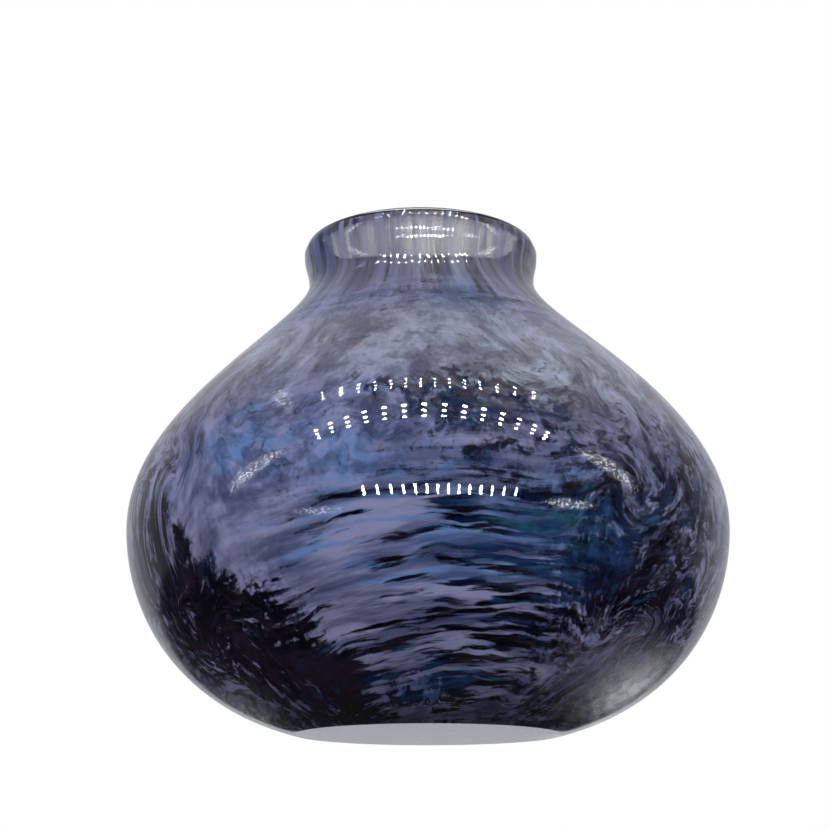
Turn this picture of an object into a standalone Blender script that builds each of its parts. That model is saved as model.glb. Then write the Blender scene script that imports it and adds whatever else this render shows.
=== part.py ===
"""Small hand blown art glass vase, built as the glassblower builds it: a blown bubble of clear
glass, three thin coats of colour picked up on it one after the other, and a thick clear casing
gathered over everything, ground flat at the foot.

Units are metres, +Z is up, and the origin is the middle of the ground foot. Every piece is a
turned vessel around the Z axis, and the pieces lie inside each other like the skins of an onion.
"""

import math

import bmesh
import bpy
from mathutils import Vector

# Driving dimensions of the outside.
HEIGHT = 0.0803
FOOT_RADIUS = 0.0208  # edge of the face that was ground and polished
BELLY_RADIUS = 0.0475
BELLY_HEIGHT = 0.0317  # where the belly is widest
NECK_RADIUS = 0.0186  # where the jacks squeezed it
NECK_HEIGHT = 0.0731
LIP_RADIUS = 0.0193
FOOT_LEAN = math.radians(14)  # how steeply the belly leaves the foot

# How far the outline's curve handles reach, as shares of the width or height that each curve spans.
FOOT_REACH = 0.79  # outwards from the foot, along its lean
COLOUR_FOOT_REACH = 0.62  # the same for the coloured bubble, level
BELLY_REACH_DOWN = 0.345
BELLY_REACH_UP = 0.46
NECK_REACH_DOWN = 0.19
LIP_REACH = 0.5

# Clear glass between the outside and the colour. It pools towards the foot.
CASING_AT_FOOT = 0.0050
CASING_AT_BELLY = 0.0014
CASING_AT_NECK = 0.0008

# The skins under the casing.
COAT_THICKNESS = 0.0003
BUBBLE_THICKNESS = 0.0012
FUSION_GAP = 0.0002  # stands for the fused boundary between two skins
COLOUR_FLOOR_RADIUS = 0.0120  # flat middle of the coloured bubble's bottom
LIP_COVER = 0.0009  # clear bead over the ends of the coats

# How finely the turned shapes are cut.
SEGMENTS = 36
STEPS_FOOT_TO_BELLY = 7
STEPS_BELLY_TO_NECK = 7
STEPS_NECK_TO_LIP = 2
STEPS_LIP = 6
MERGE = 1e-6
SHARP_ANGLE = math.radians(35)

COATS = ("lavender_frit_coat", "cobalt_frit_coat", "amethyst_powder_coat")
SKINS_DEPTH = (len(COATS) + 1) * FUSION_GAP + len(COATS) * COAT_THICKNESS + BUBBLE_THICKNESS
LIP_WALL = CASING_AT_NECK + SKINS_DEPTH
LIP_ROUND = LIP_WALL / 2

FINISHES = {
    # name: colour, roughness, alpha
    "outer_casing": ((0.86, 0.90, 0.94), 0.02, 0.35),
    "lavender_frit_coat": ((0.36, 0.35, 0.60), 0.25, 1.0),
    "cobalt_frit_coat": ((0.04, 0.12, 0.38), 0.20, 1.0),
    "amethyst_powder_coat": ((0.02, 0.01, 0.04), 0.20, 1.0),
    "inner_bubble": ((0.80, 0.84, 0.88), 0.02, 0.35),
}


def clear_scene():
    for thing in list(bpy.data.objects):
        bpy.data.objects.remove(thing, do_unlink=True)


def curve(start, start_handle, end_handle, end, steps):
    """Points of a cubic curve from start to end, without its first point."""
    points = []
    for step in range(1, steps + 1):
        t = step / steps
        s = 1 - t
        points.append(start * s**3 + start_handle * 3 * s * s * t + end_handle * 3 * s * t * t + end * t**3)
    return points


def side_outline(foot, foot_handle, belly, neck, lip):
    """The side of a vessel as (radius, height) points: out to the belly, in to the neck, up the lip."""
    to_belly = Vector((0, BELLY_REACH_DOWN * (belly.y - foot.y)))
    from_belly = Vector((0, BELLY_REACH_UP * (neck.y - belly.y)))
    to_neck = Vector((0, NECK_REACH_DOWN * (neck.y - belly.y)))
    lip_pull = Vector((0, LIP_REACH * (lip.y - neck.y)))
    points = [foot]
    points += curve(foot, foot_handle, belly - to_belly, belly, STEPS_FOOT_TO_BELLY)
    points += curve(belly, belly + from_belly, neck - to_neck, neck, STEPS_BELLY_TO_NECK)
    points += curve(neck, neck + lip_pull, lip - lip_pull, lip, STEPS_NECK_TO_LIP)
    return points


def outside_outline():
    """The casing's outer side, from the edge of the ground foot to where the lip starts to round."""
    foot = Vector((FOOT_RADIUS, 0))
    belly = Vector((BELLY_RADIUS, BELLY_HEIGHT))
    reach = FOOT_REACH * (BELLY_RADIUS - FOOT_RADIUS)
    handle = foot + Vector((math.cos(FOOT_LEAN), math.sin(FOOT_LEAN))) * reach
    neck = Vector((NECK_RADIUS, NECK_HEIGHT))
    lip = Vector((LIP_RADIUS, HEIGHT - LIP_ROUND))
    return side_outline(foot, handle, belly, neck, lip)


def colour_outline():
    """The outside of the coloured bubble, from the axis up to the clear bead of the lip."""
    foot = Vector((COLOUR_FLOOR_RADIUS, CASING_AT_FOOT))
    belly = Vector((BELLY_RADIUS - CASING_AT_BELLY, BELLY_HEIGHT))
    handle = foot + Vector((COLOUR_FOOT_REACH * (belly.x - foot.x), 0))
    neck = Vector((NECK_RADIUS - CASING_AT_NECK, NECK_HEIGHT))
    lip = Vector((LIP_RADIUS - CASING_AT_NECK, HEIGHT - LIP_COVER))
    return [Vector((0, CASING_AT_FOOT))] + side_outline(foot, handle, belly, neck, lip)


def inset(outline, depth):
    """The outline moved inwards by depth along its normals. It keeps its ends' radius 0 and top height."""
    moved = []
    last = len(outline) - 1
    for i, point in enumerate(outline):
        before = outline[max(i - 1, 0)]
        after = outline[min(i + 1, last)]
        along = (after - before).normalized()
        moved.append(point + Vector((-along.y, along.x)) * depth)
    moved[0] = Vector((0, outline[0].y + depth))
    moved[-1].y = outline[-1].y
    return moved


def lip_arc(outer):
    """The rounded lip, from the top of the outer side over to the mouth."""
    centre = outer - Vector((LIP_ROUND, 0))
    turns = [math.pi * step / STEPS_LIP for step in range(1, STEPS_LIP + 1)]
    return [centre + Vector((math.cos(turn), math.sin(turn))) * LIP_ROUND for turn in turns]


def turned(name, outline):
    """A solid turned about the Z axis from an outline of (radius, height) points, both ends on the axis."""
    mesh = bpy.data.meshes.new(name)
    shape = bmesh.new()
    corners = [shape.verts.new((point.x, 0, point.y)) for point in outline]
    edges = [shape.edges.new(pair) for pair in zip(corners, corners[1:])]
    bmesh.ops.spin(
        shape, geom=corners + edges, axis=(0, 0, 1), cent=(0, 0, 0),
        angle=math.tau, steps=SEGMENTS, use_merge=True,
    )
    bmesh.ops.remove_doubles(shape, verts=shape.verts, dist=MERGE)
    bmesh.ops.recalc_face_normals(shape, faces=shape.faces)
    shape.to_mesh(mesh)
    shape.free()
    mesh.shade_smooth()
    mesh.set_sharp_from_angle(angle=SHARP_ANGLE)
    piece = bpy.data.objects.new(name, mesh)
    bpy.context.scene.collection.objects.link(piece)
    return piece


def finish(piece):
    """Gives a piece its own glass."""
    colour, roughness, alpha = FINISHES[piece.name]
    material = bpy.data.materials.new(piece.name)
    material.use_nodes = True
    glass = material.node_tree.nodes["Principled BSDF"]
    glass.inputs["Base Color"].default_value = (*colour, 1)
    glass.inputs["Roughness"].default_value = roughness
    glass.inputs["Metallic"].default_value = 0
    glass.inputs["Alpha"].default_value = alpha
    piece.data.materials.append(material)


def outer_casing():
    """The clear gather over the colour. At the lip it folds over the coats and ends at the mouth."""
    outside = outside_outline()
    mouth_side = lip_arc(outside[-1])
    ceiling_height = HEIGHT - LIP_COVER + FUSION_GAP
    over_lip = [point for point in mouth_side if point.y > ceiling_height]
    rise = ceiling_height - (HEIGHT - LIP_ROUND)
    mouth_edge = outside[-1].x - LIP_ROUND - math.sqrt(LIP_ROUND**2 - rise**2)
    inside = colour_outline()
    inside[-1].y = ceiling_height
    return [Vector((0, 0))] + outside + over_lip + [Vector((mouth_edge, ceiling_height))] + inside[::-1]


def skin(outside_depth, thickness):
    """A vessel that lies outside_depth under the colour's outline and is thickness thick."""
    outside = inset(colour_outline(), outside_depth)
    inside = inset(colour_outline(), outside_depth + thickness)
    return outside + inside[::-1]


def build():
    clear_scene()
    finish(turned("outer_casing", outer_casing()))
    depth = FUSION_GAP
    for name in COATS:
        finish(turned(name, skin(depth, COAT_THICKNESS)))
        depth += COAT_THICKNESS + FUSION_GAP
    finish(turned("inner_bubble", skin(depth, BUBBLE_THICKNESS)))


build()
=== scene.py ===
"""Looks for the hand blown art glass vase, laid out as an add-on and run as a script.

The vase is one wall of glass made from five lots: a clear bubble, three coats of colour and a
clear casing. Each lot is turned here as a fine closed shell in the place of its CAD node. Light
only bends where the glass meets the air, so the faces where two lots are fused are see-through.
"""

import math
from typing import NamedTuple

import bmesh
import bpy
import numpy as np
from mathutils import Matrix, Vector


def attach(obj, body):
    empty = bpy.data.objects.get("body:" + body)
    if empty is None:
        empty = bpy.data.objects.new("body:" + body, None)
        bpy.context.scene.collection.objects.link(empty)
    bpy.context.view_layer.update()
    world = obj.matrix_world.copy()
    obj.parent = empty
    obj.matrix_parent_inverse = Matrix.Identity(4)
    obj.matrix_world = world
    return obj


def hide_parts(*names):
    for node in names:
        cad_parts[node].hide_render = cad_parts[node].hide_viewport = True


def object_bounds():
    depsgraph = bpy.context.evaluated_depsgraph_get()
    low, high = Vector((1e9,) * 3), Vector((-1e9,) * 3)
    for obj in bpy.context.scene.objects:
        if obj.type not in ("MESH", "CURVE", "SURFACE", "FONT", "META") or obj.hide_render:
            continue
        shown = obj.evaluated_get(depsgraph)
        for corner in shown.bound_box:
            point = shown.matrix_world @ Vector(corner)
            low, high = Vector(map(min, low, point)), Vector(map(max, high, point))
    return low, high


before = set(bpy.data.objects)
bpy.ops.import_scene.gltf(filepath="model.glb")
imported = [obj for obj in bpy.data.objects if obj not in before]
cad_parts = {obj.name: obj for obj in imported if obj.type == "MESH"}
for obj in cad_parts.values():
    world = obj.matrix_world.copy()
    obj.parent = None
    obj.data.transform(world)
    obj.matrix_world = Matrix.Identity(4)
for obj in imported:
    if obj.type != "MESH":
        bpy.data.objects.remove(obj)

CAD_LOW, CAD_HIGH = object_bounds()
BODY = "root"
MM = 0.001
MERGE = 1e-6
LEAN_START = 0.62  # share of the height where the neck starts to lean
SECTORS = 16  # a shell is turned as one sector, which is then repeated round the axis
CASING_STEPS = 56  # along each long curve of the casing's outside
SKIN_STEPS = 48  # the same for the outside of a coat and for the hollow
FUSED_STEPS = 24  # the same for fused sides, which don't show
COAT_BACK_STEPS = 16
LIP_STEPS = 24
FOOT_RINGS = (0, 0.5, 0.9, 0.985)  # shares of the foot's radius
LIP_SHORTENING = 0.00001  # keeps the bubble's top clear of the casing's

bl_info = {
    "name": "Hand Blown Art Glass Vase",
    "version": (1, 0, 0),
    "blender": (4, 5, 0),
    "location": "View3D > Sidebar > Glass Vase",
    "description": "Makes a small cased glass vase with drawn frit colours, piece by piece",
    "category": "Add Mesh",
}


# ---------------------------------------------------------------- sizes and colours


def length(name, description, default):
    """A size in metres that shows in Blender's own length unit."""
    return bpy.props.FloatProperty(
        name=name, description=description, default=default, unit="LENGTH", precision=5
    )


def colour(name, description, default):
    """A colour of glass."""
    return bpy.props.FloatVectorProperty(
        name=name, description=description, default=default, subtype="COLOR", size=3, min=0, max=1
    )


class VaseForm(bpy.types.PropertyGroup):
    """The outside of the vase, and how its wall is layered."""

    height: length("Height", "From the foot to the top of the lip", CAD_HIGH.z)
    belly_radius: length("Belly radius", "Radius where the vase is widest", CAD_HIGH.x)
    belly_height: length("Belly height", "Height of the widest place", 0.0317)
    foot_radius: length("Foot radius", "Radius of the ground and polished foot", 0.0208)
    neck_radius: length("Neck radius", "Radius where the jacks squeezed the neck", 0.0186)
    neck_height: length("Neck height", "Height of the narrowest place", 0.0731)
    lip_radius: length("Lip radius", "Radius of the flared lip", 0.0193)
    foot_lean: bpy.props.FloatProperty(
        name="Foot lean", description="How steeply the belly leaves the foot",
        default=math.radians(14), subtype="ANGLE",
    )
    casing_at_foot: length("Casing at foot", "Clear glass under the colour at the foot", 0.0050)
    casing_at_belly: length("Casing at belly", "Clear glass over the colour at the belly", 0.0014)
    casing_at_neck: length("Casing at neck", "Clear glass over the colour at the neck", 0.0008)
    coat_thickness: length("Coat thickness", "Thickness of each coat of colour", 0.0003)
    bubble_thickness: length("Bubble thickness", "Thickness of the clear bubble inside", 0.0012)
    fusion_gap: length("Fusion gap", "Stands for the fused boundary between two lots of glass", 0.0002)
    colour_floor: length("Colour floor", "Radius of the flat middle of the coloured bubble", 0.0120)
    lip_cover: length("Lip cover", "Clear bead over the ends of the coats", 0.0009)
    lean: length("Lean", "How far the neck leans to one side, as a hand made piece does", 0.0011)
    waviness: length("Waviness", "Depth of the soft waves that the tools left on the outside", 0.00009)
    facets: bpy.props.IntProperty(name="Facets", description="Steps round the vase", default=320, min=24)


class VaseColours(bpy.types.PropertyGroup):
    """The colours of the glass lots."""

    clear: colour("Clear glass", "Tint of the casing and the bubble", (0.975, 0.985, 0.99))
    lavender: colour("Lavender", "Opal lavender frit", (0.36, 0.37, 0.68))
    pale_lilac: colour("Pale lilac", "The palest grains of the lavender frit", (0.52, 0.52, 0.82))
    periwinkle: colour("Periwinkle", "The bluer grains of the lavender frit", (0.18, 0.27, 0.60))
    dusk: colour("Dusk", "Frit that melted into the dark powder", (0.10, 0.12, 0.27))
    cornflower: colour("Cornflower", "Bright blue opal drifts", (0.25, 0.42, 0.84))
    # Partly the opal's own grey-white, partly painted light: over the shoulder and neck it stands for light
    # coming through the glass.
    veil: colour("Veil", "Grey-white opal veil of the shoulder", (0.76, 0.83, 1.0))
    royal: colour("Royal blue", "Cobalt frit where it is thick", (0.035, 0.085, 0.24))
    navy: colour("Navy", "Cobalt frit over the dark powder", (0.004, 0.012, 0.07))
    teal: colour("Teal", "Cobalt frit with a green cast", (0.06, 0.24, 0.36))
    # Near-black: partly the powder's own dark tint, partly painted shade that stands for the shade seen
    # through the glass.
    amethyst: colour("Amethyst", "Dark powder where it is thick", (0.004, 0.0025, 0.009))
    plum: colour("Plum", "Dark powder where light gets in", (0.032, 0.015, 0.042))
    veil_shade: colour("Veil shade", "Brown-grey clouds in the veil", (0.26, 0.24, 0.29))
    # Partly the thin powder's own brown-grey, partly painted light that stands for light coming through the
    # shoulder.
    smoke: colour("Smoke", "Dark powder where it is thin, as on the shoulder", (0.23, 0.19, 0.22))


class VaseStage(bpy.types.PropertyGroup):
    """The floor, the light and the camera."""

    floor_colour: colour("Floor", "Pale floor", (0.86, 0.87, 0.89))
    light: bpy.props.FloatProperty(
        name="Light", description="Strength of the white surroundings", default=1.0
    )
    floor_size: length("Floor size", "Side of the floor", 40.0)
    camera_distance: length("Camera distance", "From the camera to the axis of the vase", 0.2706)
    camera_drop: length("Camera drop", "How far the camera is under the foot", 0.0219)
    camera_side: length("Camera side", "How far the camera is to the left of the axis", 0.0022)
    camera_pitch: bpy.props.FloatProperty(
        name="Camera pitch", description="How far the camera looks up",
        default=math.radians(15.17), subtype="ANGLE",
    )
    camera_lens: bpy.props.FloatProperty(
        name="Lens", description="Focal length", default=75.0, unit="CAMERA"
    )


# ---------------------------------------------------------------- the outlines

# How far the outline's curve handles reach, as shares of the width or height that each curve spans.
FOOT_REACH = 0.79  # outwards from the foot, along its lean
COLOUR_FOOT_REACH = 0.62  # the same for the coloured bubble, level
BELLY_REACH_DOWN = 0.345
BELLY_REACH_UP = 0.46
NECK_REACH_DOWN = 0.19
LIP_REACH = 0.5


def curve(start, start_handle, end_handle, end, steps):
    """Points of a cubic curve from start to end, without its first point."""
    points = []
    for step in range(1, steps + 1):
        t = step / steps
        s = 1 - t
        points.append(start * s**3 + start_handle * 3 * s * s * t + end_handle * 3 * s * t * t + end * t**3)
    return points


def side_outline(foot, foot_handle, belly, neck, lip, steps):
    """The side of a vessel as (radius, height): out to the belly, in to the neck, up the lip."""
    to_belly = Vector((0, BELLY_REACH_DOWN * (belly.y - foot.y)))
    from_belly = Vector((0, BELLY_REACH_UP * (neck.y - belly.y)))
    to_neck = Vector((0, NECK_REACH_DOWN * (neck.y - belly.y)))
    lip_pull = Vector((0, LIP_REACH * (lip.y - neck.y)))
    points = [foot]
    points += curve(foot, foot_handle, belly - to_belly, belly, steps)
    points += curve(belly, belly + from_belly, neck - to_neck, neck, steps)
    points += curve(neck, neck + lip_pull, lip - lip_pull, lip, steps // 4)
    return points


def skins_depth(form):
    """From the outside of the colour to the hollow."""
    coats, gaps = 3, 4
    return gaps * form.fusion_gap + coats * form.coat_thickness + form.bubble_thickness


def lip_round(form):
    return (form.casing_at_neck + skins_depth(form)) / 2


def outside_outline(form, steps):
    """The casing's outer side, from the edge of the foot to where the lip starts to round."""
    foot = Vector((form.foot_radius, 0))
    belly = Vector((form.belly_radius, form.belly_height))
    reach = FOOT_REACH * (belly.x - foot.x)
    handle = foot + Vector((math.cos(form.foot_lean), math.sin(form.foot_lean))) * reach
    neck = Vector((form.neck_radius, form.neck_height))
    lip = Vector((form.lip_radius, form.height - lip_round(form)))
    return side_outline(foot, handle, belly, neck, lip, steps)


def colour_outline(form, steps):
    """The outside of the coloured bubble, from the axis up to the clear bead of the lip."""
    foot = Vector((form.colour_floor, form.casing_at_foot))
    belly = Vector((form.belly_radius - form.casing_at_belly, form.belly_height))
    handle = foot + Vector((COLOUR_FOOT_REACH * (belly.x - foot.x), 0))
    neck = Vector((form.neck_radius - form.casing_at_neck, form.neck_height))
    lip = Vector((form.lip_radius - form.casing_at_neck, form.height - form.lip_cover))
    flat_steps = max(steps // 4, 2)
    flat = [Vector((foot.x * step / flat_steps, foot.y)) for step in range(flat_steps)]
    return flat + side_outline(foot, handle, belly, neck, lip, steps)


def lengths_along(outline):
    """How far each point is from the first one, along the outline."""
    lengths = [0.0]
    for before, after in zip(outline, outline[1:]):
        lengths.append(lengths[-1] + (after - before).length)
    return lengths


def inset(outline, depth):
    """The outline moved inwards by depth along its normals, with its ends kept at the axis and the lip."""
    moved = []
    last = len(outline) - 1
    for i, point in enumerate(outline):
        along = (outline[min(i + 1, last)] - outline[max(i - 1, 0)]).normalized()
        moved.append(point + Vector((-along.y, along.x)) * depth)
    moved[0].x = 0
    moved[-1].y = outline[-1].y
    return moved


def lip_arc(form, outer, steps):
    """The rounded lip, from the top of the outer side over to the mouth."""
    radius = lip_round(form)
    centre = outer - Vector((radius, 0))
    turns = [math.pi * step / steps for step in range(1, steps + 1)]
    return [centre + Vector((math.cos(turn), math.sin(turn))) * radius for turn in turns]


# ---------------------------------------------------------------- turning a shell


def turned_shell(name, free, fused, form, free_rises=None):
    """A closed wall of glass. free is the outline of the side that shows and fused that of the other side,
    both from the axis at the bottom up to the lip. The faces of the fused side get material slot 1."""
    free_rises = free_rises or lengths_along(free)
    mesh = bpy.data.meshes.new(name)
    shape = bmesh.new()
    rise = shape.verts.layers.float.new("rise")
    shows = shape.verts.layers.int.new("shows")
    corners = []
    for point, point_rise in zip(free, free_rises):
        corner = shape.verts.new((point.x, 0, point.y))
        corner[rise] = point_rise
        corner[shows] = 1
        corners.append(corner)
    corners += [shape.verts.new((point.x, 0, point.y)) for point in reversed(fused)]
    edges = [shape.edges.new(pair) for pair in zip(corners, corners[1:])]
    bmesh.ops.spin(
        shape, geom=corners + edges, axis=(0, 0, 1), cent=(0, 0, 0),
        angle=math.tau / SECTORS, steps=form.facets // SECTORS,
    )
    sector = list(shape.verts) + list(shape.edges) + list(shape.faces)
    bmesh.ops.spin(
        shape, geom=sector, axis=(0, 0, 1), cent=(0, 0, 0),
        angle=math.tau - math.tau / SECTORS, steps=SECTORS - 1, use_duplicate=True,
    )
    bmesh.ops.remove_doubles(shape, verts=shape.verts, dist=MERGE)
    bmesh.ops.recalc_face_normals(shape, faces=shape.faces)
    for face in shape.faces:
        face.material_index = 0 if all(corner[shows] for corner in face.verts) else 1
        face.smooth = True
    shape.to_mesh(mesh)
    shape.free()
    piece = bpy.data.objects.new(name, mesh)
    bpy.context.scene.collection.objects.link(piece)
    return piece


def places(mesh):
    """The mesh's points as an array of x, y, z."""
    flat = np.zeros(len(mesh.vertices) * 3, np.float32)
    mesh.vertices.foreach_get("co", flat)
    return flat.reshape(-1, 3).astype(float)


def put_places(mesh, points):
    mesh.vertices.foreach_set("co", points.astype(np.float32).ravel())
    mesh.update()


def lean_over(mesh, form):
    """Leans the neck a little to one side, as on a piece made by hand."""
    points = places(mesh)
    start = form.height * LEAN_START
    up = np.clip((points[:, 2] - start) / (form.height - start), 0, 1)
    points[:, 0] -= form.lean * up * up * (3 - 2 * up)
    put_places(mesh, points)


# ---------------------------------------------------------------- where the colour lies


class Patch(NamedTuple):
    """A soft patch on the wall. azimuth is in degrees from the front, growing to the right. rise, wide and
    tall are in millimetres: rise along the wall from the middle of the bottom, the others half sizes.
    tilt turns the patch, in degrees, right side up."""

    azimuth: float
    rise: float
    wide: float
    tall: float
    strength: float
    tilt: float = 0


class Swirl(NamedTuple):
    """A place where the hot glass was turned round. reach is in millimetres and turn in degrees."""

    azimuth: float
    rise: float
    reach: float
    turn: float


# How much of the wall each colour or habit takes, before the patches.
GROUND = {
    "cover": 0.50,  # lavender frit
    "blue": 0.22,  # cornflower cast of the frit
    # grey-white opal, partly painted light over the shoulder and neck
    "veil": 0.0,  # grey-white opal
    "royal": 0.34,  # cobalt frit
    "teal": 0.12,
    "plum": 0.38,  # dark powder where light gets in
    # thin dark powder, partly painted light over the shoulder
    "smoke": 0.06,  # thin dark powder
    "stir": 0.20,  # blobs and curls rather than streaks drawn round
    "ruffle": 0.0,  # fine crinkles
    "lift": 0.0,  # feathers that run up the wall
    "melt": 0.22,  # soft edges
    "sheer": 0.0,  # see-through
}

ALL_ROUND = 200  # half width of a patch that goes right round the vase

PATCHES = {
    "cover": (
        Patch(-42, 54, 11, 8, 0.45),
        Patch(-24, 66, 24, 9, 0.36),
        Patch(-14, 50, 17, 9, 0.20, 12),
        Patch(-4, 42, 14, 7, 0.06),
        Patch(-16, 42, 11, 8, 0.16),
        Patch(10, 37, 14, 6, -0.05),
        Patch(-62, 43, 14, 13, -0.15, -35),
        Patch(-42, 37, 18, 10, -0.22, -22),
        Patch(-31, 27, 10, 7, -0.32),
        Patch(-50, 51, 11, 6, -0.24, -30),
        Patch(-4, 56, 10, 4, -0.12),
        Patch(24, 51, 10, 8, -0.12),
        Patch(4, 70, 13, 4.5, -0.34),
        Patch(48, 52, 18, 10, -0.17),
        Patch(40, 44, 12, 6, -0.12),
        Patch(44, 72, 18, 8, 0.10),
        Patch(74, 62, 12, 18, 0.12),
        Patch(64, 36, 16, 12, -0.10),
        Patch(14, 24, 14, 5, -0.08),
        Patch(-38, 16, 16, 6, -0.25),
        Patch(-6, 14, 9, 6, 0.28),
        Patch(26, 17, 14, 6, 0.12),
        Patch(0, 86, ALL_ROUND, 13, 0.34),
        Patch(0, 109, ALL_ROUND, 8, 0.28),
        Patch(24, 95, 13, 5, -0.12),
        Patch(0, 119, ALL_ROUND, 3, -0.30),
        Patch(64, 106, 20, 11, -0.34),
        Patch(-78, 106, 14, 11, -0.34),
    ),
    "blue": (
        Patch(-37, 65, 8, 6, 0.50),
        Patch(-14, 65, 16, 8, 0.26),
        Patch(-5, 51, 22, 9, 0.26),
        Patch(24, 52, 16, 9, 0.40),
        Patch(-22, 97, 12, 5, 0.30),
        Patch(-62, 110, 9, 14, 0.9),
        Patch(-58, 97, 16, 7, 0.6),
        Patch(-66, 88, 9, 8, 0.7),
        Patch(14, 98, 12, 5, 0.6),
        Patch(-4, 24, 7, 4, 0.6),
        Patch(72, 74, 10, 20, 0.35),
    ),
    # Over the shoulder and neck the veil is partly painted light, standing for light coming through the
    # glass there.
    "veil": (
        Patch(0, 84, ALL_ROUND, 11, 0.80),
        Patch(-58, 96, 16, 6, -0.40),
        Patch(-75, 76, 12, 14, 0.55),
        Patch(38, 76, 20, 10, 0.45),
        Patch(14, 72, 14, 5, 0.50),
        Patch(56, 62, 18, 14, 0.22),
        Patch(62, 30, 18, 9, 0.30),
        Patch(70, 56, 10, 20, 0.40),
        Patch(14, 112, 22, 8, 0.50),
        Patch(0, 107, ALL_ROUND, 6, 0.35),
    ),
    "royal": (
        Patch(22, 49, 15, 9, 0.34),
        Patch(-8, 65, 22, 8, 0.34),
        Patch(-37, 64, 9, 7, 0.5),
        Patch(-5, 25, 10, 5, 0.7),
        Patch(-36, 47, 9, 4, 0.3, -20),
        Patch(-60, 90, 18, 7, 0.5, 30),
        Patch(24, 95, 13, 5, 0.25),
        Patch(-64, 112, 10, 10, 0.5),
        Patch(-54, 40, 20, 14, -0.16),
    ),
    "teal": (
        Patch(8, 97, 10, 4, 0.4),
        Patch(27, 94, 10, 5, 0.45),
        Patch(26, 53, 13, 7, 0.22),
        Patch(30, 26, 8, 4, 0.6),
        Patch(-60, 46, 12, 8, 0.25, -20),
        Patch(-66, 90, 10, 8, 0.35),
    ),
    "plum": (
        Patch(0, 20, ALL_ROUND, 13, 0.40),
    ),
    # Over the shoulder and neck the smoke is partly painted light, standing for light coming through the
    # thin powder.
    "smoke": (
        Patch(0, 84, ALL_ROUND, 13, 0.85),
        Patch(-42, 77, 24, 11, 0.45, 25),
        Patch(8, 71, 12, 4, 0.55),
        Patch(30, 74, 22, 10, 0.35),
        Patch(-84, 52, 10, 20, 0.60),
        Patch(58, 30, 20, 9, 0.75),
        Patch(80, 54, 10, 24, 0.60),
        Patch(0, 113, ALL_ROUND, 9, 0.75),
    ),
    "stir": (
        Patch(-26, 67, 30, 10, 0.70),
        Patch(52, 62, 30, 22, 0.60),
        Patch(56, 34, 24, 13, 0.55),
        Patch(-66, 56, 16, 13, 0.60),
        Patch(-52, 38, 20, 15, 0.45),
        Patch(0, 84, ALL_ROUND, 13, 0.55),
        Patch(0, 46, 24, 15, -0.30),
        Patch(4, 30, 26, 9, -0.20),
    ),
    "ruffle": (
        Patch(56, 40, 22, 12, 0.20),
        Patch(50, 36, 22, 14, 0.30),
        Patch(-54, 40, 22, 16, 0.30),
        Patch(-72, 60, 12, 20, 0.20),
    ),
    "lift": (
        Patch(-56, 84, 28, 14, 0.85),
        Patch(58, 86, 28, 14, 0.75),
        Patch(78, 66, 14, 16, 0.60),
        Patch(-78, 66, 12, 16, 0.50),
        Patch(-46, 25, 16, 8, 0.85),
        Patch(48, 25, 16, 8, 0.75),
        Patch(-4, 23, 10, 5, 0.60),
        Patch(0, 84, 16, 10, 0.15),
    ),
    "melt": (
        Patch(0, 86, ALL_ROUND, 14, 1.0),
        Patch(0, 113, ALL_ROUND, 9, 0.85),
        Patch(-28, 66, 32, 11, 0.65),
        Patch(56, 62, 30, 20, 0.90),
        Patch(-58, 46, 16, 14, 0.30),
        Patch(60, 30, 20, 10, 0.50),
        Patch(8, 70, 16, 6, 0.40),
    ),
    "sheer": (
        Patch(0, 114, ALL_ROUND, 8, 0.34),
        Patch(6, 115, 26, 8, 0.10),
        Patch(0, 119, ALL_ROUND, 3, -0.60),
        Patch(66, 28, 16, 8, 0.45),
        Patch(78, 29, 18, 9, 0.42),
        Patch(-80, 25, 18, 7, 0.40),
        Patch(-88, 48, 8, 18, 0.35),
        Patch(84, 50, 8, 24, 0.30),
    ),
}

SWIRLS = (
    Swirl(-62, 58, 8, 60),
    Swirl(-54, 44, 8, -50),
    Swirl(36, 56, 6, 50),
    Swirl(50, 68, 9, -35),
    Swirl(62, 46, 6, 40),
    Swirl(44, 38, 6, -70),
    Swirl(-40, 78, 12, 50),
    Swirl(28, 82, 9, -50),
    Swirl(70, 78, 9, 40),
)

FAR_SIDE_SQUEEZE = 0.9  # the far side repeats the front's patches, a little closer together
SWEEP = 9  # how far the low streaks sink towards the left, in millimetres
SWEEP_TOP = 62  # rise in millimetres over which the streaks stay level
SWEEP_FADE = 16
PULL_START = 96  # rise in millimetres where the glass was pulled up into the neck
PULL_FADE = 10
STRAY_SWIRLS = 90
STRAY_SEED = 7


def wrapped(angle):
    """The angle brought between -pi and pi."""
    return (angle + math.pi) % math.tau - math.pi


def patch_weight(patch, azimuth, rise, radius):
    """1 in the middle of the patch, falling softly to 0."""
    across = wrapped(azimuth - math.radians(patch.azimuth)) * radius
    along = rise - patch.rise * MM
    tilt = math.radians(patch.tilt)
    wide = (across * math.cos(tilt) + along * math.sin(tilt)) / (patch.wide * MM)
    tall = (along * math.cos(tilt) - across * math.sin(tilt)) / (patch.tall * MM)
    return np.exp(-((wide * wide + tall * tall) ** 1.5))


def zone(name, azimuth, rise, radius):
    """How strong the named colour or habit is at each point of the wall."""
    value = np.full(azimuth.shape, GROUND[name])
    for patch in PATCHES[name]:
        value += patch.strength * patch_weight(patch, azimuth, rise, radius)
        twin_azimuth = 180 - patch.azimuth * FAR_SIDE_SQUEEZE
        twin = patch._replace(azimuth=twin_azimuth, tilt=-patch.tilt)
        if patch.wide < ALL_ROUND:
            value += patch.strength * patch_weight(twin, azimuth, rise, radius)
    return np.clip(value, 0, 1)


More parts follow.
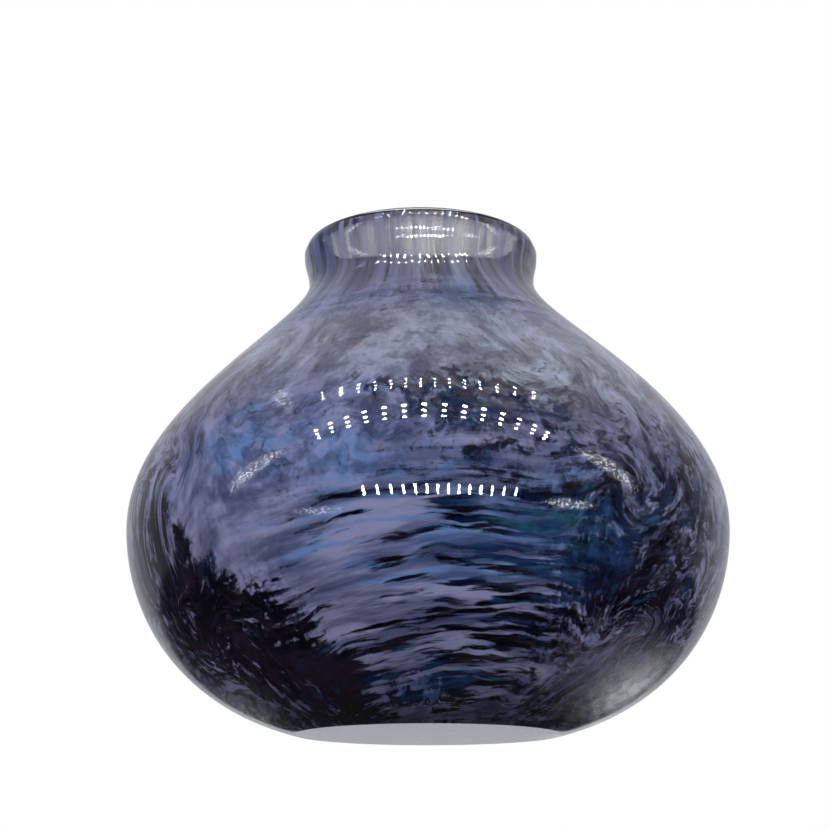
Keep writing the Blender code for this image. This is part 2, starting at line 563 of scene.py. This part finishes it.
def swirled(azimuth, rise, radius):
    """Where the glass at each point lay before the swirls turned it."""
    draw = np.random.default_rng(STRAY_SEED)
    stray = [
        Swirl(draw.uniform(-180, 180), draw.uniform(20, 100), draw.uniform(2, 5), draw.uniform(-120, 120))
        for _ in range(STRAY_SWIRLS)
    ]
    low = np.clip((SWEEP_TOP - rise / MM) / SWEEP_FADE, 0, 1)
    side = np.clip(0.2 - np.sin(azimuth), 0, 1.2) ** 1.6
    rise = rise + SWEEP * MM * low * side
    stir = zone("stir", azimuth, rise, radius)
    for swirls, amount in ((stray, stir), (SWIRLS, 1.0)):
        for swirl in swirls:
            across = wrapped(azimuth - math.radians(swirl.azimuth)) * radius
            along = rise - swirl.rise * MM
            reach = swirl.reach * MM
            turn = math.radians(swirl.turn) * amount * np.exp(-(across**2 + along**2) / reach**2)
            azimuth = azimuth + (across * np.cos(turn) - along * np.sin(turn) - across) / radius
            rise = rise + (across * np.sin(turn) + along * np.cos(turn) - along)
    return azimuth, rise


def lay_colour(piece, form):
    """Stores on the piece where its glass was before it was drawn, and how strong each zone is."""
    mesh = piece.data
    points = places(mesh)
    rise = np.zeros(len(mesh.vertices), np.float32)
    mesh.attributes["rise"].data.foreach_get("value", rise)
    rise = rise.astype(float)
    azimuth = np.arctan2(points[:, 0], -points[:, 1])
    radius = form.belly_radius
    old_azimuth, old_rise = swirled(azimuth, rise, radius)
    drawn = np.stack([radius * np.sin(old_azimuth), -radius * np.cos(old_azimuth), old_rise], axis=1)
    layer = mesh.attributes.new("drawn", "FLOAT_VECTOR", "POINT")
    layer.data.foreach_set("vector", drawn.astype(np.float32).ravel())
    zones = {name: zone(name, azimuth, rise, radius) for name in GROUND}
    zones["pull"] = np.clip((rise / MM - PULL_START) / PULL_FADE, 0, 1)
    for name, values in zones.items():
        layer = mesh.attributes.new(name, "FLOAT", "POINT")
        layer.data.foreach_set("value", values.astype(np.float32))


# ---------------------------------------------------------------- node helpers


def add(tree, kind, settings=None, **inputs):
    """Adds a shader node. inputs gives values or other nodes' outputs by input name, with _ for a space."""
    node = tree.nodes.new("ShaderNode" + kind)
    for key, value in (settings or {}).items():
        setattr(node, key, value)
    for key, value in inputs.items():
        join(tree, node.inputs[key.replace("_", " ")], value)
    return node


def join(tree, socket, value):
    """Links an output to the socket, or sets the socket to a value."""
    if isinstance(value, bpy.types.NodeSocket):
        tree.links.new(value, socket)
    else:
        socket.default_value = value


def maths(tree, operation, first, second=0.0, third=0.0):
    node = tree.nodes.new("ShaderNodeMath")
    node.operation = operation
    for socket, value in zip(node.inputs, (first, second, third)):
        join(tree, socket, value)
    return node.outputs[0]


def vector(tree, operation, first, second):
    node = tree.nodes.new("ShaderNodeVectorMath")
    node.operation = operation
    join(tree, node.inputs[0], first)
    join(tree, node.inputs[1], second)
    return node.outputs[0]


def scaled(tree, source, amount):
    node = tree.nodes.new("ShaderNodeVectorMath")
    node.operation = "SCALE"
    join(tree, node.inputs[0], source)
    join(tree, node.inputs["Scale"], amount)
    return node.outputs[0]


def blend_value(tree, amount, first, second):
    node = tree.nodes.new("ShaderNodeMix")
    node.data_type = "FLOAT"
    for index, value in ((0, amount), (2, first), (3, second)):
        join(tree, node.inputs[index], value)
    return node.outputs[0]


def blend_colour(tree, amount, first, second):
    node = tree.nodes.new("ShaderNodeMix")
    node.data_type = "RGBA"
    for index, value in ((0, amount), (6, first), (7, second)):
        join(tree, node.inputs[index], value)
    return node.outputs[2]


def soft_step(tree, value, low, high, to_low=0.0, to_high=1.0):
    """0 under low, 1 over high and a smooth rise between them."""
    node = tree.nodes.new("ShaderNodeMapRange")
    node.interpolation_type = "SMOOTHSTEP"
    ends = (("From Min", low), ("From Max", high), ("To Min", to_low), ("To Max", to_high))
    for name, given in (("Value", value), *ends):
        join(tree, node.inputs[name], given)
    return node.outputs[0]


def soft_contrast(tree, value, amount):
    """Spreads the value about one half."""
    return maths(tree, "MULTIPLY_ADD", maths(tree, "SUBTRACT", value, 0.5), amount, 0.5)


def stored(tree, name):
    """A value that lay_colour stored on the piece."""
    return add(tree, "Attribute", {"attribute_name": name}).outputs["Fac"]


def stored_vector(tree, name):
    return add(tree, "Attribute", {"attribute_name": name}).outputs["Vector"]


def noise(tree, where, scale, detail=2.0, roughness=0.5):
    return add(tree, "TexNoise", Vector=where, Scale=scale, Detail=detail, Roughness=roughness)


def new_group(name, inputs, outputs):
    """A shader node group whose sockets are all numbers, and its two end nodes. inputs gives defaults by
    name, and outputs only names."""
    tree = bpy.data.node_groups.new(name, "ShaderNodeTree")
    for socket_name, default in inputs.items():
        socket = tree.interface.new_socket(socket_name, in_out="INPUT", socket_type="NodeSocketFloat")
        socket.default_value = default
    for socket_name in outputs:
        tree.interface.new_socket(socket_name, in_out="OUTPUT", socket_type="NodeSocketFloat")
    return tree, tree.nodes.new("NodeGroupInput"), tree.nodes.new("NodeGroupOutput")


def use(tree, group, **inputs):
    """Places a node group in a material with its own values."""
    node = tree.nodes.new("ShaderNodeGroup")
    node.node_tree = group
    for key, value in inputs.items():
        join(tree, node.inputs[key.replace("_", " ")], value)
    return node


def group_named(name, make):
    return bpy.data.node_groups.get(name) or make(name)


def opaque(rgb):
    return (*rgb, 1.0)


# ---------------------------------------------------------------- shared effects


# How much finer each habit's noise is across, through and up the wall, its detail and its roughness.
STREAKS = ((85, 85, 820), 6.0, 0.56)
CURLS = ((330, 330, 430), 5.0, 0.52)
RUFFLES = ((640, 640, 760), 4.0, 0.52)
FEATHERS = ((330, 330, 110), 5.0, 0.50)
LINES = ((330, 330, 36), 3.0, 0.50)
WANDER = 0.004  # how far the streaks wander
CURLING = 0.014  # how far stirred glass was moved
MIDDLE = (0.5, 0.5, 0.5)


def make_drawn_frit(name):
    """Where grains of frit lie after the glass was drawn: round the belly in long streaks, up the neck in
    long lines, and in curls where it was stirred."""
    tree, given, out = new_group(
        name,
        {"Cover": 0.5, "Fineness": 1.0, "Seed": 0.0, "Softness": 0.03},
        ("Mask", "Field"),
    )
    drawn = stored_vector(tree, "drawn")
    seed = given.outputs["Seed"]
    there = vector(tree, "ADD", drawn, add(tree, "CombineXYZ", X=seed, Y=seed, Z=seed).outputs[0])

    def moved(scale, detail, roughness, reach):
        """The place moved by up to half of reach each way."""
        colours = noise(tree, there, scale, detail, roughness).outputs["Color"]
        shift = scaled(tree, vector(tree, "SUBTRACT", colours, MIDDLE), reach)
        return vector(tree, "ADD", there, shift)

    def habit(where, stretch, detail, roughness):
        """Noise stretched in one habit's way."""
        stretched = vector(tree, "MULTIPLY", where, stretch)
        return noise(tree, stretched, given.outputs["Fineness"], detail, roughness).outputs["Fac"]

    wavy = moved(70.0, 2.0, 0.5, WANDER)
    curled = moved(170.0, 3.0, 0.6, CURLING)
    lines = soft_contrast(tree, habit(wavy, *LINES), 0.8)
    field = blend_value(tree, stored(tree, "stir"), habit(wavy, *STREAKS), habit(curled, *CURLS))
    field = blend_value(tree, stored(tree, "ruffle"), field, habit(curled, *RUFFLES))
    field = blend_value(tree, stored(tree, "lift"), field, habit(curled, *FEATHERS))
    field = blend_value(tree, stored(tree, "pull"), field, lines)
    field = soft_contrast(tree, field, 1.25)
    lifted = maths(tree, "MULTIPLY_ADD", maths(tree, "SUBTRACT", given.outputs["Cover"], 0.5), 0.5, field)
    softness = maths(tree, "MULTIPLY_ADD", stored(tree, "melt"), 0.10, given.outputs["Softness"])
    low = maths(tree, "SUBTRACT", 0.5, softness)
    high = maths(tree, "ADD", 0.5, softness)
    tree.links.new(soft_step(tree, lifted, low, high), out.inputs["Mask"])
    tree.links.new(field, out.inputs["Field"])
    return tree


def drawn_frit():
    return group_named("Drawn frit", make_drawn_frit)


# ---------------------------------------------------------------- materials


def new_material(name):
    material = bpy.data.materials.new(name)
    material.use_nodes = True
    return material, material.node_tree, material.node_tree.nodes["Principled BSDF"]


def fused_face():
    """The boundary between two fused lots of glass. Light goes straight through it."""
    found = bpy.data.materials.get("fused face")
    if found:
        return found
    material, tree, glass = new_material("fused face")
    tree.nodes.remove(glass)
    see_through = tree.nodes.new("ShaderNodeBsdfTransparent")
    tree.links.new(see_through.outputs[0], tree.nodes["Material Output"].inputs["Surface"])
    return material


CORD_DEPTH = 0.00002


def clear_glass(name, tint):
    """Fire polished clear glass, with the faint waves and cords that furnace glass has."""
    material, tree, glass = new_material(name)
    glass.inputs["Base Color"].default_value = opaque(tint)
    glass.inputs["Transmission Weight"].default_value = 1.0
    glass.inputs["IOR"].default_value = 1.5
    where = add(tree, "TexCoord").outputs["Object"]
    cords = noise(tree, vector(tree, "MULTIPLY", where, (60, 60, 220)), 1.0, 2.0).outputs["Fac"]
    smudges = noise(tree, where, 45.0, 3.0, 0.6).outputs["Fac"]
    join(tree, glass.inputs["Roughness"], soft_step(tree, smudges, 0.5, 0.75, 0.0, 0.012))
    bump = add(tree, "Bump", Height=cords, Strength=0.4, Distance=CORD_DEPTH)
    join(tree, glass.inputs["Normal"], bump.outputs[0])
    return material


def coat_shader(glass):
    """A coat has no surface of its own inside the glass, so it doesn't shine."""
    glass.inputs["Specular IOR Level"].default_value = 0.0
    glass.inputs["Roughness"].default_value = 1.0


def lavender_glass(tones):
    """Opal lavender frit: pale grains drawn to streaks, bluer in places, grey-white over the shoulder.
    The grey-white over the shoulder and neck is partly the opal's own colour and partly painted light.
    """
    material, tree, glass = new_material("lavender frit")
    coat_shader(glass)
    veil = stored(tree, "veil")
    frit = use(tree, drawn_frit(), Cover=stored(tree, "cover"), Fineness=1.0, Seed=0.0, Softness=0.035)
    grain = use(tree, drawn_frit(), Cover=0.5, Fineness=0.55, Seed=0.31, Softness=0.09)
    tone = use(tree, drawn_frit(), Cover=stored(tree, "blue"), Fineness=0.6, Seed=0.73, Softness=0.09)
    pale = blend_colour(tree, grain.outputs["Mask"], opaque(tones.lavender), opaque(tones.pale_lilac))
    bluer = blend_colour(tree, grain.outputs["Mask"], opaque(tones.periwinkle), opaque(tones.cornflower))
    frit_colour = blend_colour(tree, tone.outputs["Mask"], pale, bluer)
    dim = use(tree, drawn_frit(), Cover=0.38, Fineness=0.45, Seed=5.1, Softness=0.09)
    dimming = maths(tree, "MULTIPLY", dim.outputs["Mask"], 0.8)
    frit_colour = blend_colour(tree, dimming, frit_colour, opaque(tones.dusk))
    # The grey-white veil over the shoulder and neck is partly the opal's own colour, partly painted light
    # coming through the glass.
    cloud = use(tree, drawn_frit(), Cover=0.50, Fineness=0.4, Seed=1.9, Softness=0.06)
    cloudy = blend_colour(tree, cloud.outputs["Mask"], opaque(tones.veil_shade), opaque(tones.veil))
    frit_colour = blend_colour(tree, maths(tree, "MULTIPLY", veil, 0.9), frit_colour, cloudy)
    join(tree, glass.inputs["Base Color"], frit_colour)
    body = soft_step(tree, grain.outputs["Field"], 0.38, 0.60, 0.60, 1.0)
    sheer = maths(tree, "SUBTRACT", 1.0, maths(tree, "MULTIPLY", stored(tree, "sheer"), 0.75))
    alpha = maths(tree, "MULTIPLY", maths(tree, "MULTIPLY", frit.outputs["Mask"], body), sheer)
    join(tree, glass.inputs["Alpha"], alpha)
    return material


def cobalt_glass(tones):
    """Cobalt frit: navy where it is thin over the dark powder, royal blue and teal where it is thick."""
    material, tree, glass = new_material("cobalt frit")
    coat_shader(glass)
    frit = use(tree, drawn_frit(), Cover=stored(tree, "royal"), Fineness=0.7, Seed=1.37, Softness=0.07)
    green = use(tree, drawn_frit(), Cover=stored(tree, "teal"), Fineness=0.5, Seed=2.11, Softness=0.06)
    deep = use(tree, drawn_frit(), Cover=0.5, Fineness=0.8, Seed=2.9, Softness=0.08)
    blue = blend_colour(tree, deep.outputs["Mask"], opaque(tones.navy), opaque(tones.royal))
    blue = blend_colour(tree, green.outputs["Mask"], blue, opaque(tones.teal))
    join(tree, glass.inputs["Base Color"], blue)
    sheer = maths(tree, "SUBTRACT", 1.0, maths(tree, "MULTIPLY", stored(tree, "sheer"), 0.8))
    join(tree, glass.inputs["Alpha"], maths(tree, "MULTIPLY", frit.outputs["Mask"], sheer))
    return material


def amethyst_and_painted_shade_glass(tones):
    """Dark amethyst powder: black where it is thick, plum in places, brown-grey smoke where it is thin.
    The black is partly the powder's own tint and partly painted shade, and the smoke is partly painted
    light coming through the thin powder.
    """
    material, tree, glass = new_material("amethyst powder")
    coat_shader(glass)
    plum = use(tree, drawn_frit(), Cover=stored(tree, "plum"), Fineness=0.6, Seed=3.7, Softness=0.08)
    smoke = use(tree, drawn_frit(), Cover=stored(tree, "smoke"), Fineness=0.5, Seed=4.3, Softness=0.12)
    # The near-black amethyst is partly painted shade, standing for the shade seen through the glass.
    dark = blend_colour(tree, plum.outputs["Mask"], opaque(tones.amethyst), opaque(tones.plum))
    # The brown-grey smoke is partly painted light coming through the thin powder on the shoulder.
    dark = blend_colour(tree, smoke.outputs["Mask"], dark, opaque(tones.smoke))
    join(tree, glass.inputs["Base Color"], dark)
    thin = maths(tree, "MULTIPLY", stored(tree, "sheer"), 1.15)
    join(tree, glass.inputs["Alpha"], maths(tree, "SUBTRACT", 1.0, thin))
    return material


def dress(piece, node_name, showing):
    """Gives a shell its glass, rides it on the vase and lets it stand for its CAD node."""
    piece.data.materials.append(showing)
    piece.data.materials.append(fused_face())
    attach(piece, BODY)
    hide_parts(node_name)


# ---------------------------------------------------------------- the pieces

WAVE_SUM = 2.1  # the sum of the three waves' strengths
WAVE_FADE = 0.006  # height over which the waves grow in above the foot
FLAT_FOOT = 0.0004  # up to here the foot stays as it was ground


class VaseOperator:
    """What every operator of this add-on shares."""

    bl_options = {"REGISTER", "UNDO"}

    @property
    def form(self):
        return bpy.context.scene.vase_form

    @property
    def tones(self):
        return bpy.context.scene.vase_colours


class VASE_OT_outer_casing(VaseOperator, bpy.types.Operator):
    """Make the thick clear casing with its ground foot and rounded lip"""

    bl_idname = "vase.outer_casing"
    bl_label = "Outer Casing"

    def execute(self, context):
        form = self.form
        side = outside_outline(form, CASING_STEPS)
        ceiling = form.height - form.lip_cover + form.fusion_gap
        over_lip = [point for point in lip_arc(form, side[-1], LIP_STEPS) if point.y > ceiling]
        foot_rings = [Vector((form.foot_radius * share, 0)) for share in FOOT_RINGS]
        free = foot_rings + side + over_lip + [self.mouth_edge(form, side[-1], ceiling)]
        fused = colour_outline(form, FUSED_STEPS)
        fused[-1].y = ceiling
        casing = turned_shell("outer_casing_glass", free, fused, form)
        self.press_waves(casing.data, form)
        lean_over(casing.data, form)
        dress(casing, "outer_casing", clear_glass("clear casing", self.tones.clear))
        return {"FINISHED"}

    def mouth_edge(self, form, outer, ceiling):
        radius = lip_round(form)
        rise = ceiling - outer.y
        return Vector((outer.x - radius - math.sqrt(radius**2 - rise**2), ceiling))

    def press_waves(self, mesh, form):
        """Presses soft hollows into the outside, where the wet paper and the jacks worked it."""
        points = places(mesh)
        radius = np.hypot(points[:, 0], points[:, 1])
        azimuth = np.arctan2(points[:, 0], -points[:, 1])
        height = points[:, 2] / form.height
        wave = (
            np.sin(2 * azimuth + 3.1 * height + 0.4)
            + 0.6 * np.sin(3 * azimuth - 7.0 * height + 1.9)
            + 0.5 * np.sin(9.0 * height + azimuth)
        )
        depth = form.waviness * (1 - wave / WAVE_SUM) / 2
        shows = np.zeros(len(mesh.vertices), np.int32)
        mesh.attributes["shows"].data.foreach_get("value", shows)
        side = (shows == 1) & (points[:, 2] > FLAT_FOOT) & (radius > MM)
        fade = np.clip(points[:, 2] / WAVE_FADE, 0, 1) * side
        share = 1 - depth * fade / np.maximum(radius, MM)
        points[:, 0] *= share
        points[:, 1] *= share
        put_places(mesh, points)


def make_coat(name, node_name, order, form, showing):
    """One of the three thin coats of colour, the order-th from the outside."""
    base = colour_outline(form, SKIN_STEPS)
    depth = form.fusion_gap + order * (form.coat_thickness + form.fusion_gap)
    coarse = colour_outline(form, COAT_BACK_STEPS)
    free = inset(base, depth)
    fused = inset(coarse, depth + form.coat_thickness)
    coat = turned_shell(name, free, fused, form, lengths_along(base))
    lay_colour(coat, form)
    lean_over(coat.data, form)
    dress(coat, node_name, showing)


class VASE_OT_lavender_frit_coat(VaseOperator, bpy.types.Operator):
    """Make the outermost colour, opal lavender frit drawn into streaks"""

    bl_idname = "vase.lavender_frit_coat"
    bl_label = "Lavender Frit Coat"

    def execute(self, context):
        make_coat("lavender_frit_streaks", "lavender_frit_coat", 0, self.form, lavender_glass(self.tones))
        return {"FINISHED"}


class VASE_OT_cobalt_frit_coat(VaseOperator, bpy.types.Operator):
    """Make the cobalt blue drifts under the lavender"""

    bl_idname = "vase.cobalt_frit_coat"
    bl_label = "Cobalt Frit Coat"

    def execute(self, context):
        make_coat("cobalt_frit_drifts", "cobalt_frit_coat", 1, self.form, cobalt_glass(self.tones))
        return {"FINISHED"}


class VASE_OT_amethyst_powder_coat(VaseOperator, bpy.types.Operator):
    """Make the near-black amethyst ground, whose black is partly painted shade"""

    bl_idname = "vase.amethyst_powder_coat"
    bl_label = "Amethyst Powder Coat"

    def execute(self, context):
        showing = amethyst_and_painted_shade_glass(self.tones)
        make_coat("amethyst_powder_and_painted_shade_ground", "amethyst_powder_coat", 2, self.form, showing)
        return {"FINISHED"}


class VASE_OT_inner_bubble(VaseOperator, bpy.types.Operator):
    """Make the clear bubble that lines the hollow"""

    bl_idname = "vase.inner_bubble"
    bl_label = "Inner Bubble"

    def execute(self, context):
        form = self.form
        depth = skins_depth(form) - form.bubble_thickness
        fused = inset(colour_outline(form, FUSED_STEPS), depth)
        free = inset(colour_outline(form, SKIN_STEPS), skins_depth(form))
        ceiling = form.height - form.lip_cover + form.fusion_gap - LIP_SHORTENING
        fused[-1].y = ceiling
        free[-1].y = ceiling
        self.round_into_lip(free, form)
        bubble = turned_shell("inner_bubble_glass", free, fused, form)
        lean_over(bubble.data, form)
        dress(bubble, "inner_bubble", clear_glass("clear bubble", self.tones.clear))
        return {"FINISHED"}

    def round_into_lip(self, outline, form):
        """Keeps the hollow's side from standing proud of the rounded lip."""
        radius = lip_round(form)
        start = form.height - radius
        for point in outline:
            if point.y > start:
                edge = form.lip_radius - radius - math.sqrt(max(radius**2 - (point.y - start) ** 2, 0))
                point.x = max(point.x, edge)


# ---------------------------------------------------------------- the stage

FLOOR_DROP = 0.0002  # keeps the floor clear of the foot
LAMP_COLUMNS = 14
LAMP_SHINE = 160
LAMP_HEIGHT = 0.90  # of the two bars above the vase
REFLECTOR_DISTANCE = 1.2


class Reflector(NamedTuple):
    """A lit sheet. Its angles are in degrees, azimuth from the front to the right, its sizes in metres."""

    azimuth: float
    elevation: float
    width: float
    height: float
    turn: float
    shine: float


REFLECTORS = (
    Reflector(-66, 20, 0.80, 0.22, -52, 16),
    Reflector(-93, 57, 0.50, 0.14, 10, 6),
    Reflector(69, 21, 0.80, 0.24, 48, 14),
    Reflector(51, -1, 0.55, 0.12, -4, 16),
    Reflector(-39, -6, 0.50, 0.12, 6, 10),
)


def lamp_material(name):
    """An empty material for a lamp, and its tree."""
    material, tree, glass = new_material(name)
    tree.nodes.remove(glass)
    return material, tree


def light_up(tree, shine):
    """Makes a lamp glow, but only where nothing has scattered its light, so it doesn't light the colour."""
    first_surface = maths(tree, "LESS_THAN", add(tree, "LightPath").outputs["Diffuse Depth"], 0.5)
    glow = add(tree, "Emission", Color=(1, 1, 1, 1), Strength=maths(tree, "MULTIPLY", first_surface, shine))
    join(tree, tree.nodes["Material Output"].inputs["Surface"], glow.outputs[0])


class VASE_OT_stage(VaseOperator, bpy.types.Operator):
    """Make the pale floor, the soft studio light and the camera"""

    bl_idname = "vase.stage"
    bl_label = "Stage"

    def execute(self, context):
        stage = context.scene.vase_stage
        self.make_floor(stage)
        self.make_surroundings(context.scene, stage)
        self.make_lamps()
        self.make_camera(context.scene, stage)
        settings = context.scene.cycles
        settings.transparent_max_bounces = 64
        settings.max_bounces = 16
        settings.transmission_bounces = 12
        context.scene.view_settings.view_transform = "Standard"
        return {"FINISHED"}

    def make_floor(self, stage):
        """The floor hides nothing that is seen from under it."""
        mesh = bpy.data.meshes.new("floor")
        shape = bmesh.new()
        bmesh.ops.create_grid(shape, x_segments=1, y_segments=1, size=stage.floor_size / 2)
        bmesh.ops.translate(shape, verts=shape.verts, vec=(0, 0, -FLOOR_DROP))
        shape.to_mesh(mesh)
        shape.free()
        floor = bpy.data.objects.new("floor", mesh)
        bpy.context.scene.collection.objects.link(floor)
        material, tree, surface = new_material("pale floor")
        surface.inputs["Base Color"].default_value = opaque(stage.floor_colour)
        surface.inputs["Roughness"].default_value = 1.0
        surface.inputs["Specular IOR Level"].default_value = 0.0
        behind = add(tree, "NewGeometry").outputs["Backfacing"]
        see_through = tree.nodes.new("ShaderNodeBsdfTransparent")
        mix = tree.nodes.new("ShaderNodeMixShader")
        for socket, value in zip(mix.inputs, (behind, surface.outputs[0], see_through.outputs[0])):
            join(tree, socket, value)
        join(tree, tree.nodes["Material Output"].inputs["Surface"], mix.outputs[0])
        mesh.materials.append(material)
        floor.visible_glossy = False

    def make_lamp_bar(self, name, columns, size):
        """A bar of small lamps that only shows in reflections. Each column is the place of its middle lamp
        and the step from one lamp to the next."""
        mesh = bpy.data.meshes.new(name)
        shape = bmesh.new()
        for middle, step in columns:
            for row in (-1, 0, 1):
                place = middle + step * row
                facing = (-place).to_track_quat("Z", "Y").to_matrix().to_4x4()
                matrix = Matrix.Translation(place) @ facing @ Matrix.Diagonal((size.x, size.y, 1, 1))
                bmesh.ops.create_circle(shape, cap_ends=True, segments=12, radius=0.5, matrix=matrix)
        shape.to_mesh(mesh)
        shape.free()
        material, tree = lamp_material(name)
        light_up(tree, LAMP_SHINE)
        self.hang(name, mesh, material)

    def hang(self, name, mesh, material):
        """Hangs a lamp that only shows in reflections."""
        lamp = bpy.data.objects.new(name, mesh)
        bpy.context.scene.collection.objects.link(lamp)
        mesh.materials.append(material)
        lamp.visible_camera = False
        lamp.visible_diffuse = False
        lamp.visible_transmission = False
        lamp.visible_shadow = False

    def make_lamps(self):
        """Three bars of lamps, one high in front, one overhead and one level with the vase, and a few
        quilted reflectors at the sides. u runs from -1 at the left of a bar to 1 at its right."""
        shares = [2 * column / (LAMP_COLUMNS - 1) - 1 for column in range(LAMP_COLUMNS)]
        shares = [0.83 * u + 0.17 * u**3 for u in shares]
        high = []
        overhead = []
        level = []
        for u in shares:
            in_front = Vector((0.80 * u + 0.03, -0.565 - 0.16 * u * u, LAMP_HEIGHT))
            high.append((in_front, Vector((0.047 * u, -0.092, 0))))
            above = Vector((0.43 * u, -0.21 + 0.06 * u * u, LAMP_HEIGHT))
            overhead.append((above, Vector((0.012 * u, -0.036, 0))))
            beside = Vector((0.45 * u + 0.075, -0.90, 0.035))
            level.append((beside, Vector((0.006 * u, 0, 0.026))))
        self.make_lamp_bar("high_lamp_bar", high, Vector((0.026, 0.034)))
        self.make_lamp_bar("overhead_lamp_bar", overhead, Vector((0.006, 0.018)))
        self.make_lamp_bar("level_lamp_bar", level, Vector((0.013, 0.030)))
        for index, reflector in enumerate(REFLECTORS):
            self.make_reflector(f"quilted_reflector_{index}", reflector)

    def make_reflector(self, name, reflector):
        """A lit quilted sheet that only shows in reflections, brightest in its middle."""
        azimuth = math.radians(reflector.azimuth)
        elevation = math.radians(reflector.elevation)
        level = math.cos(elevation)
        out = Vector((math.sin(azimuth) * level, -math.cos(azimuth) * level, math.sin(elevation)))
        facing = (-out).to_track_quat("Z", "Y").to_matrix().to_4x4()
        turn = Matrix.Rotation(math.radians(reflector.turn), 4, "Z")
        size = Matrix.Diagonal((reflector.width, reflector.height, 1, 1))
        matrix = Matrix.Translation(out * REFLECTOR_DISTANCE) @ facing @ turn @ size
        mesh = bpy.data.meshes.new(name)
        shape = bmesh.new()
        middle = shape.verts.layers.float.new("middle")
        bmesh.ops.create_circle(shape, cap_ends=True, cap_tris=True, segments=24, radius=0.5, matrix=matrix)
        for corner in shape.verts:
            corner[middle] = 1.0 if len(corner.link_edges) > 3 else 0.0
        shape.to_mesh(mesh)
        shape.free()
        material, tree = lamp_material(name)
        glints = noise(tree, add(tree, "TexCoord").outputs["Object"], 44.0, 1.0, 0.5).outputs["Fac"]
        sparkle = soft_step(tree, glints, 0.52, 0.62, 0.10, 1.0)
        fade = soft_step(tree, stored(tree, "middle"), 0.0, 0.7)
        light_up(tree, maths(tree, "MULTIPLY", maths(tree, "MULTIPLY", sparkle, fade), reflector.shine))
        self.hang(name, mesh, material)

    def make_surroundings(self, scene, stage):
        """White all round, except that reflections see a dim room. It is lighter behind the vase, and
        lightest in a strip just below its level, which the ground foot mirrors."""
        world = bpy.data.worlds.new("studio")
        scene.world = world
        world.use_nodes = True
        tree = world.node_tree
        tree.nodes.clear()
        white = add(tree, "Background", Color=(1, 1, 1, 1), Strength=stage.light)
        direction = add(tree, "SeparateXYZ", Vector=add(tree, "TexCoord").outputs["Generated"])
        up = soft_step(tree, direction.outputs["Z"], -0.2, 0.9, 0.03, 0.20)
        behind = soft_step(tree, direction.outputs["Y"], 0.1, 0.95, 0.0, 0.45)
        level = soft_step(tree, direction.outputs["Z"], -0.18, -0.10)
        back = maths(tree, "MULTIPLY", behind, level)
        under = soft_step(tree, direction.outputs["Z"], -0.06, -0.03, 0.16, 0.0)
        straight = soft_step(tree, direction.outputs["Y"], 0.96, 0.985)
        strip = maths(tree, "MULTIPLY", maths(tree, "MULTIPLY", under, straight), level)
        back = maths(tree, "ADD", back, strip)
        dim = add(tree, "Background", Color=(0.90, 0.92, 1, 1), Strength=maths(tree, "ADD", up, back))
        mix = tree.nodes.new("ShaderNodeMixShader")
        path = add(tree, "LightPath")
        glossy = path.outputs["Is Glossy Ray"]
        passed = path.outputs["Is Transmission Ray"]
        reflected = maths(tree, "GREATER_THAN", maths(tree, "SUBTRACT", glossy, passed), 0.5)
        for socket, value in zip(mix.inputs, (reflected, white.outputs[0], dim.outputs[0])):
            join(tree, socket, value)
        output = tree.nodes.new("ShaderNodeOutputWorld")
        join(tree, output.inputs["Surface"], mix.outputs[0])

    def make_camera(self, scene, stage):
        camera = bpy.data.objects.new("camera", bpy.data.cameras.new("camera"))
        scene.collection.objects.link(camera)
        camera.location = (-stage.camera_side, -stage.camera_distance, -stage.camera_drop)
        camera.rotation_euler = (math.pi / 2 + stage.camera_pitch, 0, 0)
        camera.data.lens = stage.camera_lens
        camera.data.clip_start = 0.01
        scene.camera = camera


# ---------------------------------------------------------------- the panel and the add-on


PIECES = (
    VASE_OT_outer_casing,
    VASE_OT_lavender_frit_coat,
    VASE_OT_cobalt_frit_coat,
    VASE_OT_amethyst_powder_coat,
    VASE_OT_inner_bubble,
    VASE_OT_stage,
)


class VASE_PT_panel(bpy.types.Panel):
    """Lists the vase's pieces and its main sizes"""

    bl_label = "Glass Vase"
    bl_idname = "VASE_PT_panel"
    bl_space_type = "VIEW_3D"
    bl_region_type = "UI"
    bl_category = "Glass Vase"

    def draw(self, context):
        for group in (context.scene.vase_form, context.scene.vase_colours, context.scene.vase_stage):
            box = self.layout.box()
            for name in group.__annotations__:
                box.prop(group, name)
        for operator in PIECES:
            self.layout.operator(operator.bl_idname)


GROUPS = {"vase_form": VaseForm, "vase_colours": VaseColours, "vase_stage": VaseStage}


def register():
    for cls in (*GROUPS.values(), *PIECES, VASE_PT_panel):
        bpy.utils.register_class(cls)
    for name, group in GROUPS.items():
        setattr(bpy.types.Scene, name, bpy.props.PointerProperty(type=group))


def unregister():
    for name in GROUPS:
        delattr(bpy.types.Scene, name)
    for cls in reversed((*GROUPS.values(), *PIECES, VASE_PT_panel)):
        bpy.utils.unregister_class(cls)


def main():
    register()
    bpy.ops.vase.outer_casing()
    bpy.ops.vase.lavender_frit_coat()
    bpy.ops.vase.cobalt_frit_coat()
    bpy.ops.vase.amethyst_powder_coat()
    bpy.ops.vase.inner_bubble()
    bpy.ops.vase.stage()


if __name__ == "__main__":
    main()
